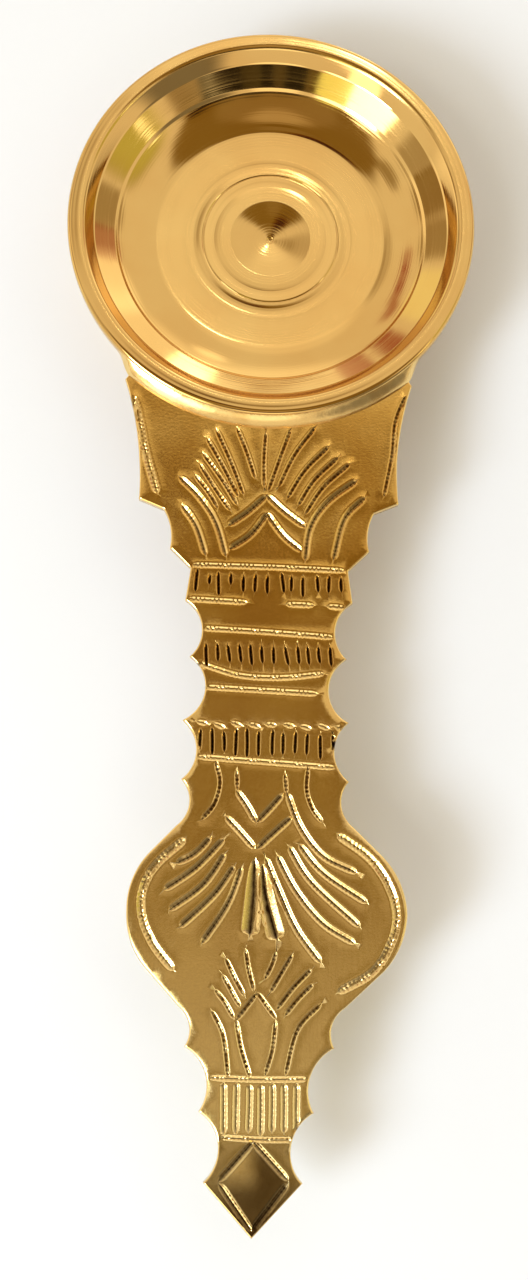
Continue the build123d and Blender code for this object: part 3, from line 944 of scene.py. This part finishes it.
@dataclass
class ChasedHandle:
    """The flat plate: a sawn, scalloped edge with a filed bevel, and a face chased with ornament.

    Its strokes cross each other, which no mesh operator can cut, so the face starts as a triangulation between the
    strokes' own lines. The edge, the sides and the back are extruded from it.

    A bevel step is a share of the bevel's width and a height. A hammered row is waves to the millimetre, a layer of
    the noise and a height. The tip's diamond is its middle, its half width and its upper and lower halves.
    """

    seat_radius: float = 31.7
    seat_angle: float = 42.0
    bevel: float = 0.32
    bevel_steps: tuple[Spot, ...] = ((0.45, -0.07), (0.40, -0.2), (0.15, -0.42))
    edge_wear: float = 0.75
    back_round: float = 0.2
    back_margin: float = 0.1
    rail_margin: float = 0.3
    edge_step: float = 0.5
    fill_step: float = 1.15
    fill_row: float = 0.866
    fill_gap: float = 0.55
    edge_mitre: float = 0.55
    ring_mitre: float = 0.6
    hammered: tuple[Triple, ...] = ((0.13, 3.0, 0.045), (0.05, 8.0, 0.10))
    lip_cut: float = 0.12
    finial_start: float = 151.5
    finial_fall: float = 0.16
    pillow_rise: float = 0.52
    pillow_fall: float = 0.50
    pillow_soft: float = 0.05
    # Painted shade on the tip: where it starts, how soon it is full, its border's strength, its strength on the diamond
    # and how much lighter the diamond's lit upper left side stays.
    tip_shade_start: float = 151.0
    tip_shade_edge: float = 1.5
    tip_shade_border: Spot = (0.40, 0.58)
    tip_shade_face: float = 0.86
    tip_shade_lit: float = 0.72
    half_edge: tuple[tuple[Spot | None, Spot], ...] = (
        (None, (24.35, 28.5)), ((21.8, 41.0), (21.75, 49.3)), (None, (17.6, 51.0)), ((16.5, 54.2), (16.6, 57.6)),
        (None, (13.1, 61.0)), (None, (13.85, 66.4)), ((11.0, 71.3), (12.9, 75.8)), ((10.15, 80.5), (13.6, 86.3)),
        ((11.25, 91.2), (13.6, 95.9)), ((12.35, 100.0), (14.3, 103.3)), (None, (18.58, 107.57)),
        ((22.45, 116.9), (18.58, 126.23)), (None, (13.2, 131.6)), ((11.3, 134.3), (11.8, 137.8)),
        ((8.0, 143.3), (9.0, 147.6)), ((5.65, 153.1), (7.7, 158.1)), (None, (0.0, 166.3)))
    drift: tuple[Spot, ...] = (
        (28.0, 0.0), (42.0, 0.1), (58.0, 0.55), (76.0, 0.55), (88.0, 0.25), (96.0, 0.35), (104.0, 0.5), (117.0, 0.95),
        (126.0, 0.75), (133.0, 0.2), (140.0, -0.05), (148.0, -0.35), (158.0, -0.7), (166.3, -0.8))
    diamond: tuple[float, float, float, float, float] = (-0.6, 157.7, 5.4, 5.7, 7.4)
    inward: dict[bmesh.types.BMVert, Vector] = field(init=False, default_factory=dict)

    def arc(self, start: Spot, middle: Spot | None, end: Spot) -> list[Spot]:
        """Even points along a line or an arc.

        Args:
            start: where it starts, which isn't among the points.
            middle: a place that the arc runs through, or None for a line.
            end: where it ends.

        Returns:
            The points.
        """
        a, b = Vector(start), Vector(end)
        if middle is None:
            count = max(1, round((b - a).length / self.edge_step))
            return [tuple(a.lerp(b, i / count)) for i in range(1, count + 1)]
        m = Vector(middle)
        p, q = m - a, b - a
        twice = 2 * p.cross(q)
        centre = a + Vector((q.y * p.length_squared - p.y * q.length_squared,
                             p.x * q.length_squared - q.x * p.length_squared)) / twice
        turns = [math.atan2(*(spot - centre).yx) for spot in (a, m, b)]
        sweep = (turns[2] - turns[0]) % FULL_TURN
        if (turns[1] - turns[0]) % FULL_TURN > sweep:
            sweep -= FULL_TURN
        radius = (a - centre).length
        count = max(3, round(abs(sweep) * radius / self.edge_step))
        angles = [turns[0] + sweep * i / count for i in range(1, count + 1)]
        return [(centre.x + radius * math.cos(t), centre.y + radius * math.sin(t)) for t in angles]

    def outline(self) -> np.ndarray:
        """The plate's edge as a closed line, with the slight drift of a hand-sawn plate.

        Returns:
            The points of the line.
        """
        angle = math.radians(self.seat_angle)
        seat_end = (self.seat_radius * math.sin(angle), self.seat_radius * math.cos(angle))
        right, here = [seat_end], seat_end
        for middle, end in self.half_edge:
            right += self.arc(here, middle, end)
            here = end
        left = [(-x, s) for x, s in reversed(right[:-1])]
        seat_line = self.arc((-seat_end[0], seat_end[1]), (0.0, self.seat_radius), seat_end)[:-1]
        spots = np.array(right + left + seat_line)
        where, shift = np.array(self.drift).T
        spots[:, 0] += np.interp(spots[:, 1], where, shift)
        return spots

    def inset(self, spots: np.ndarray, depth: float) -> np.ndarray:
        """A closed line moved inwards.

        Args:
            spots: the points of the line.
            depth: how far it moves.

        Returns:
            The moved points.
        """
        ahead, behind = np.roll(spots, -1, 0) - spots, spots - np.roll(spots, 1, 0)
        sides = []
        for step in (ahead, behind):
            step = step / np.linalg.norm(step, axis=1, keepdims=True)
            sides.append(np.stack([-step[:, 1], step[:, 0]], 1))
        middle = sides[0] + sides[1]
        middle /= np.linalg.norm(middle, axis=1, keepdims=True)
        lean = np.clip(np.einsum("ij,ij->i", middle, sides[0]), self.edge_mitre, 1)
        area = np.sum(spots[:, 0] * np.roll(spots[:, 1], -1) - np.roll(spots[:, 0], -1) * spots[:, 1])
        return spots + middle * (math.copysign(depth, area) / lean)[:, None]

    def triangulate(self, strokes: list[Stroke]) -> tuple[np.ndarray, list[tuple[int, ...]]]:
        """Triangles over the plate's face that follow the edge and every stroke.

        Args:
            strokes: the ornament.

        Returns:
            The places of the corners and the triangles between them.
        """
        rim = self.inset(self.outline(), self.bevel)
        edges = [(i, (i + 1) % len(rim)) for i in range(len(rim))]
        rails = [stroke.rails() for stroke in strokes]
        points = np.concatenate([rail for group in rails for rail in group])
        keep = self.within(points, self.inset(rim, self.rail_margin))
        number = np.where(keep, np.cumsum(keep) - 1 + len(rim), -1)
        spots = [tuple(spot) for spot in (*rim, *points[keep])]
        first = 0
        for group in rails:
            size = len(group) * len(group[0])
            grid = number[first:first + size].reshape(len(group), -1)
            along = zip(grid[:, :-1].flat, grid[:, 1:].flat)
            ends = zip(grid[:-1, (0, -1)].flat, grid[1:, (0, -1)].flat)
            edges += [(int(a), int(b)) for a, b in (*along, *ends) if a >= 0 and b >= 0]
            first += size
        tree = kdtree.KDTree(len(spots))
        for index, (x, s) in enumerate(spots):
            tree.insert((x, s, 0), index)
        tree.balance()
        low, high = rim.min(0), rim.max(0)
        for row, s in enumerate(np.arange(low[1], high[1], self.fill_step * self.fill_row)):
            for x in np.arange(low[0] + self.fill_step / 2 * (row % 2), high[0], self.fill_step):
                if tree.find((x, s, 0))[2] > self.fill_step * self.fill_gap:
                    spots.append((x, s))
        found = geometry.delaunay_2d_cdt([Vector(spot) for spot in spots], edges, [], 0, 1e-4, False)
        corners, faces = np.array([tuple(spot) for spot in found[0]]), np.array([tuple(face) for face in found[2]])
        return corners, [tuple(face) for face in faces[self.within(corners[faces].mean(1), rim)]]

    def within(self, spots: np.ndarray, ring: np.ndarray) -> np.ndarray:
        """Which places lie inside a closed line.

        Args:
            spots: the places.
            ring: the points of the line.

        Returns:
            True or False for each place.
        """
        x, s = spots.T
        inside = np.zeros(len(spots), bool)
        for (ax, ay), (bx, by) in zip(ring, np.roll(ring, -1, 0)):
            if ay != by:
                inside ^= ((ay > s) != (by > s)) & (x < ax + (s - ay) * (bx - ax) / (by - ay))
        return inside

    def on_diamond(self, spots: np.ndarray) -> tuple[np.ndarray, np.ndarray]:
        """Measures places from the middle of the tip's diamond.

        Args:
            spots: places on the face.

        Returns:
            How far across and along they lie, as shares of the diamond's halves.
        """
        x0, s0, half, up, down = self.diamond
        return (spots[:, 0] - x0) / half, (spots[:, 1] - s0) / np.where(spots[:, 1] < s0, up, down)

    def relief(self, spots: np.ndarray, strokes: list[Stroke]) -> tuple[np.ndarray, ...]:
        """Height over the plate's plane, tarnish with painted shade, and fresh metal with painted highlights at places
        on the face.

        Args:
            spots: the places.
            strokes: the ornament.

        Returns:
            Heights in millimetres, and tarnish with painted shade and fresh metal with painted highlights, from 0 to 1.
        """
        depth, lip, tarnish_and_shade, fresh_and_sheen = (np.zeros(len(spots)) for _ in range(4))
        for stroke in strokes:
            reach = stroke.chisel.value.width * Stroke.REACH
            near = np.all((spots > stroke.path.min(0) - reach) & (spots < stroke.path.max(0) + reach), axis=1)
            if near.any():
                found = stroke.cut(spots[near])
                for total, part in zip((depth, lip, tarnish_and_shade, fresh_and_sheen), found):
                    total[near] = np.maximum(total[near], part)
        height = lip * np.clip(1 - depth / self.lip_cut, 0, 1) - depth
        for per_mm, layer, size in self.hammered:
            height += size * np.array([noise.noise(Vector((x * per_mm, s * per_mm, layer))) for x, s in spots])
        across, along = self.on_diamond(spots)
        away = np.abs(across) + np.abs(along)
        slopes = np.sqrt(across ** 2 + self.pillow_soft) + np.sqrt(along ** 2 + self.pillow_soft)
        pillow = np.where(away < 1, self.pillow_rise - self.pillow_fall * slopes, 0)
        pillow -= self.finial_fall * np.clip(away - 1, 0, 1)
        height += np.where(spots[:, 1] > self.finial_start, pillow, 0)
        return height, tarnish_and_shade, fresh_and_sheen

    def painted_tip_shade(self, spots: np.ndarray) -> np.ndarray:
        """Painted shade on the tip: all of it but the diamond's upper left side, which is its lit side.

        Args:
            spots: places on the face.

        Returns:
            The painted shade at each place, from 0 to 1.
        """
        across, along = self.on_diamond(spots)
        below = spots[:, 1] - self.diamond[1]
        lit_side = np.clip(0.45 - 2.0 * across, 0, 1) * np.clip(0.55 - 2.0 * along, 0, 1)
        inside = np.clip((1.0 - np.abs(across) - np.abs(along)) * 6.0, 0, 1)
        # The painted shade grows darker towards the tip's end.
        border = self.tip_shade_border[0] + self.tip_shade_border[1] * np.clip((below + 1.0) / 6.0, 0, 1)
        start = np.clip((spots[:, 1] - self.tip_shade_start) / self.tip_shade_edge, 0, 1)
        return (border + (self.tip_shade_face - self.tip_shade_lit * lit_side - border) * inside) * start

    @staticmethod
    def across(edge: bmesh.types.BMEdge) -> Vector:
        """A level direction square to an edge."""
        a, b = (vert.co.xy for vert in edge.verts)
        return Vector((b.y - a.y, a.x - b.x)).normalized()

    def ring(self, bm: bmesh.types.BMesh, edges: list[bmesh.types.BMEdge], out: float,
             z: float) -> list[bmesh.types.BMEdge]:
        """Extrudes the plate's border by one ring.

        Args:
            bm: the plate's mesh.
            edges: the border so far.
            out: how far the new ring lies outside the old one.
            z: its height.

        Returns:
            The new border.
        """
        sides: dict[bmesh.types.BMVert, list[Vector]] = {}
        for edge in edges:
            side = self.across(edge)
            if self.inward[edge.verts[0]].dot(side) + self.inward[edge.verts[1]].dot(side) > 0:
                side.negate()
            for vert in edge.verts:
                sides.setdefault(vert, []).append(side)
        made = bmesh.ops.extrude_edge_only(bm, edges=edges)["geom"]
        for vert in (item for item in made if isinstance(item, bmesh.types.BMVert)):
            old = next(edge.other_vert(vert) for edge in vert.link_edges if edge.other_vert(vert) in sides)
            middle = sum(sides[old], Vector((0, 0))).normalized()
            move = middle * (out * MM / max(self.ring_mitre, middle.dot(sides[old][0])))
            vert.co = (old.co.x + move.x, old.co.y + move.y, z * MM)
            self.inward[vert] = self.inward[old]
        return [item for item in made if isinstance(item, bmesh.types.BMEdge)]

    def set_marks(self, bm: bmesh.types.BMesh, border: list[bmesh.types.BMEdge], **marks: float) -> None:
        """Sets marks of wear and painted light on the corners of a border.

        Args:
            bm: the plate's mesh.
            border: the border's edges.
            marks: the value of each mark, by its name.
        """
        for name, value in marks.items():
            layer = bm.verts.layers.float[name]
            for vert in {vert for edge in border for vert in edge.verts}:
                vert[layer] = value

    def face(self, datum: Datum) -> bmesh.types.BMesh:
        """Chases the plate's face.

        Args:
            datum: gives the plate's height and the bowl's axis.

        Returns:
            The face alone, with its marks of wear and painted light.
        """
        strokes = Ornament().all()
        spots, faces = self.triangulate(strokes)
        bm = bmesh.new()
        layers = [bm.verts.layers.float.new(mark) for mark in WEAR_AND_PAINTED_LIGHT]
        verts = []
        for (x, s), rise, *marks in zip(spots, *self.relief(spots, strokes), self.painted_tip_shade(spots)):
            vert = bm.verts.new((x * MM, (datum.bowl_y - s) * MM, (datum.plate_top + rise) * MM))
            for layer, mark in zip(layers, marks):
                vert[layer] = mark
            verts.append(vert)
        for face in faces:
            bm.faces.new([verts[i] for i in face])
        bmesh.ops.delete(bm, geom=[vert for vert in bm.verts if not vert.link_faces], context="VERTS")
        return bm

    def build(self, datum: Datum, finish: ChasedBrass) -> None:
        """Chases the plate, extrudes its bevel, sides and back, and puts it on the lamp.

        Args:
            datum: gives the plate's heights and the bowl's axis.
            finish: the plate's brass.
        """
        bm = self.face(datum)
        border = [edge for edge in bm.edges if edge.is_boundary]
        for edge in border:
            side = self.across(edge)
            if side.dot(edge.link_faces[0].calc_center_median().xy - edge.verts[0].co.xy) < 0:
                side.negate()
            for vert in edge.verts:
                self.inward[vert] = self.inward.get(vert, Vector((0, 0))) + side
        for out, drop in self.bevel_steps:
            border = self.ring(bm, border, out * self.bevel, datum.plate_top + drop)
            self.set_marks(bm, border, edge=self.edge_wear)
        border = self.ring(bm, border, 0.0, datum.plate_bottom + self.back_round)
        for inset in (self.back_round, self.back_margin):
            border = self.ring(bm, border, -inset, datum.plate_bottom)
            self.set_marks(bm, border, **dict.fromkeys(WEAR_AND_PAINTED_LIGHT, 0.0))
        bmesh.ops.triangle_fill(bm, use_beauty=True, use_dissolve=False, edges=border, normal=(0, 0, -1))
        bmesh.ops.recalc_face_normals(bm, faces=bm.faces)
        seat(add_piece("chased_plate", bm, finish.make(), sharp=62.0), "handle")


class HiddenSeams:
    """The seams under the rim and round the foot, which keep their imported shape."""

    NODES = ("wall_braze", "foot_braze")

    def dress(self, finish: BrazeBrass) -> None:
        """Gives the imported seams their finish.

        Args:
            finish: the brazing brass.
        """
        material = finish.make()
        for name in self.NODES:
            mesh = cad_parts[name].data
            mesh.materials.clear()
            mesh.materials.append(material)
            log.info("%s: packed shape, finish %s", name, material.name)


class Tone(Enum):
    """The tones of light in the room."""

    WARM = (1.0, 0.88, 0.72)
    WHITE = (1.0, 0.985, 0.95)
    OLIVE = (0.80, 1.0, 0.10)
    COOL = (0.72, 1.0, 0.86)
    AMBER = (1.0, 0.65, 0.26)


@dataclass(frozen=True)
class Glow:
    """One soft patch of the room's light.

    It adds its strength, or takes it away, inside the full angle about its direction, and nothing past the outer one.
    """

    tone: Tone
    towards: Triple
    full: float
    outer: float
    strength: float


@dataclass
class Studio:
    """A pale floor, soft room light, a soft lamp from the lower left and the camera."""

    camera_at: Triple = (-6.561, -50.644, 256.798)
    camera_turn: Triple = (10.1228, -1.6505, 0.8308)
    lens: float = 42.1875
    sensor: float = 36.0
    floor_size: float = 40000.0
    key_at: Triple = (-620.0, -420.0, 550.0)
    key_size: float = 260.0
    key_power: float = 4.9
    key_tone: Colour = (0.80, 0.90, 1.0)
    level: float = 1.15
    darkest: Colour = (0.03, 0.022, 0.012)
    ambient: float = 0.30
    glows: tuple[Glow, ...] = (
        Glow(Tone.WARM, (0.0, 0.0, 1.0), 82, 96, 0.56),
        Glow(Tone.WHITE, (0.0, -0.208, 0.978), 28.5, 32.0, -0.61),
        Glow(Tone.WARM, (0.0, -0.36, 0.93), 17, 21, 0.07),
        Glow(Tone.WHITE, (-0.06, 0.29, 0.955), 1.5, 5, -0.20),
        Glow(Tone.WARM, (0.0, -0.12, 1.0), 4, 10, 0.22),
        Glow(Tone.WARM, (0.0, 0.045, 1.0), 1, 4, -0.05),
        Glow(Tone.WARM, (0.0, 0.15, 0.99), 2, 4.5, 0.06),
        Glow(Tone.AMBER, (0.34, -0.48, 0.81), 6, 9, -0.22),
        Glow(Tone.AMBER, (0.15, -0.54, 0.83), 6, 9, -0.24),
        Glow(Tone.AMBER, (-0.04, -0.56, 0.83), 6, 9, -0.22),
        Glow(Tone.AMBER, (-0.15, -0.54, 0.83), 5, 7, -0.16),
        Glow(Tone.WHITE, (0.50, -0.38, 0.78), 6, 10, -0.42),
        Glow(Tone.WARM, (0.66, -0.62, 0.40), 15, 26, -0.62),
        Glow(Tone.WHITE, (0.75, -0.02, 0.66), 8, 16, -0.50),
        Glow(Tone.OLIVE, (0.75, -0.04, 0.66), 6, 16, 0.30),
        Glow(Tone.WHITE, (0.70, -0.13, 0.70), 1.5, 4, 2.0),
        Glow(Tone.WHITE, (0.075, 0.515, 0.853), 0.5, 1.6, 9.0),
        Glow(Tone.WHITE, (0.80, 0.34, 0.50), 5, 9, -0.45),
        Glow(Tone.COOL, (0.74, 0.52, 0.41), 4, 7, -0.48),
        Glow(Tone.WHITE, (-0.34, -0.48, 0.81), 5, 7, 0.40),
        Glow(Tone.OLIVE, (-0.34, -0.48, 0.81), 5, 7, 0.66),
        Glow(Tone.WHITE, (-0.55, -0.34, 0.76), 8.0, 10.0, 4.0),
        Glow(Tone.WHITE, (-0.51, 0.10, 0.855), 3, 7, -0.50),
        Glow(Tone.WHITE, (-0.735, -0.02, 0.66), 4, 9, -0.40),
        Glow(Tone.WHITE, (-0.78, 0.21, 0.58), 6, 10, -0.54),
        Glow(Tone.WHITE, (-0.735, 0.455, 0.475), 5, 9, -0.46),
        Glow(Tone.OLIVE, (-0.63, 0.72, 0.31), 6, 10, 0.20),
        Glow(Tone.COOL, (-0.54, 0.52, 0.66), 1, 5, -0.44),
        Glow(Tone.COOL, (-0.51, 0.60, 0.62), 1, 5, -0.50),
        Glow(Tone.COOL, (-0.475, 0.67, 0.57), 1, 5, -0.50),
        Glow(Tone.COOL, (-0.45, 0.75, 0.49), 1, 5, -0.50),
        Glow(Tone.COOL, (-0.41, 0.88, 0.22), 2, 5, -0.60),
        Glow(Tone.COOL, (-0.27, 0.95, 0.14), 2.5, 5, -0.60),
        Glow(Tone.WHITE, (-0.21, 0.47, 0.86), 3, 8, -0.24),
        Glow(Tone.WHITE, (-0.10, 0.46, 0.88), 2, 5, -0.18),
        Glow(Tone.WHITE, (0.03, 0.50, 0.865), 3, 9, 0.14),
        Glow(Tone.WHITE, (0.0, 0.64, 0.77), 6, 12, 0.12),
        Glow(Tone.WHITE, (0.45, 0.88, 0.05), 10, 24, 0.34),
        Glow(Tone.WHITE, (0.66, 0.68, 0.29), 6, 12, 0.40),
        Glow(Tone.WHITE, (0.0, 0.995, 0.05), 10, 24, 0.34),
        Glow(Tone.WHITE, (0.28, 0.95, 0.11), 3, 6, 2.40),
        Glow(Tone.WHITE, (0.23, 0.89, 0.39), 1, 5, 0.70),
        Glow(Tone.WHITE, (0.0, -0.80, 0.60), 8, 14, 0.55),
        Glow(Tone.WHITE, (-0.52, -0.69, 0.50), 8, 14, 2.6),
        Glow(Tone.WHITE, (-0.66, -0.72, 0.20), 6, 10, 1.6),
        Glow(Tone.WHITE, (-0.95, 0.20, 0.20), 10, 18, 0.30))

    def floor(self) -> None:
        """Lays the floor that the lamp stands on."""
        bm = bmesh.new()
        bmesh.ops.create_grid(bm, x_segments=4, y_segments=4, size=self.floor_size / 2 * MM)
        piece = add_piece("floor", bm, PaleFloor().make(), sharp=30.0)

    def room(self) -> None:
        """Fills the room with soft light that is brighter or dimmer in a few broad patches."""
        world = bpy.data.worlds.new("soft_room")
        world.use_nodes = True
        bpy.context.scene.world = world
        sheet = NodeSheet(world.node_tree)
        direction = sheet.add("ShaderNodeTexCoord").outputs["Generated"]
        total: Socket | Colour = tuple(part * self.ambient * self.level for part in Tone.WARM.value)
        for glow in self.glows:
            facing = sheet.add("ShaderNodeVectorMath", {0: direction, 1: Vector(glow.towards).normalized()},
                               operation="DOT_PRODUCT").outputs["Value"]
            patch = sheet.add("ShaderNodeMapRange", {
                0: facing, 1: math.cos(math.radians(glow.outer)), 2: math.cos(math.radians(glow.full)),
                3: 0.0, 4: glow.strength * self.level}, interpolation_type="SMOOTHSTEP").outputs[0]
            total = sheet.add("ShaderNodeVectorMath", {0: patch, 1: glow.tone.value, 2: total},
                              operation="MULTIPLY_ADD").outputs[0]
        total = sheet.add("ShaderNodeVectorMath", {0: total, 1: self.darkest}, operation="MAXIMUM").outputs[0]
        light = sheet.add("ShaderNodeBackground", {"Color": total})
        sheet.add("ShaderNodeOutputWorld", {0: light.outputs[0]})

    def lamp(self) -> None:
        """Hangs the soft square lamp, which points at the frame's origin."""
        light = bpy.data.lights.new("key", "AREA")
        light.shape, light.size, light.energy, light.color = "SQUARE", self.key_size * MM, self.key_power, self.key_tone
        lamp = bpy.data.objects.new("key", light)
        lamp.location = Vector(self.key_at) * MM
        lamp.rotation_euler = (-lamp.location).to_track_quat("-Z", "Y").to_euler()
        bpy.context.scene.collection.objects.link(lamp)

    def camera(self) -> None:
        """Sets the camera where the photograph was taken from."""
        data = bpy.data.cameras.new("camera")
        data.lens, data.sensor_width, data.clip_start = self.lens, self.sensor, 10 * MM
        camera = bpy.data.objects.new("camera", data)
        camera.location = Vector(self.camera_at) * MM
        camera.rotation_euler = Euler([math.radians(turn) for turn in self.camera_turn])
        bpy.context.scene.collection.objects.link(camera)
        bpy.context.scene.camera = camera

    def build(self) -> None:
        """Sets the whole studio up."""
        self.floor()
        self.room()
        self.lamp()
        self.camera()
        bpy.context.scene.view_settings.view_transform = "Standard"
        log.info("studio: floor, room light, a lamp and the camera")


def main() -> None:
    """Builds the lamp piece by piece, then the studio round it."""
    logging.basicConfig(level=logging.INFO, format="%(message)s")
    datum = Datum.read()
    turned, braze = TurnedBrass(), BrazeBrass()
    OilBowl().build(datum, turned)
    FootRing().build(datum, turned)
    ChasedHandle().build(datum, ChasedBrass())
    RimBraze().build(datum, braze)
    HiddenSeams().dress(braze)
    Studio().build()


if __name__ == "__main__":
    main()
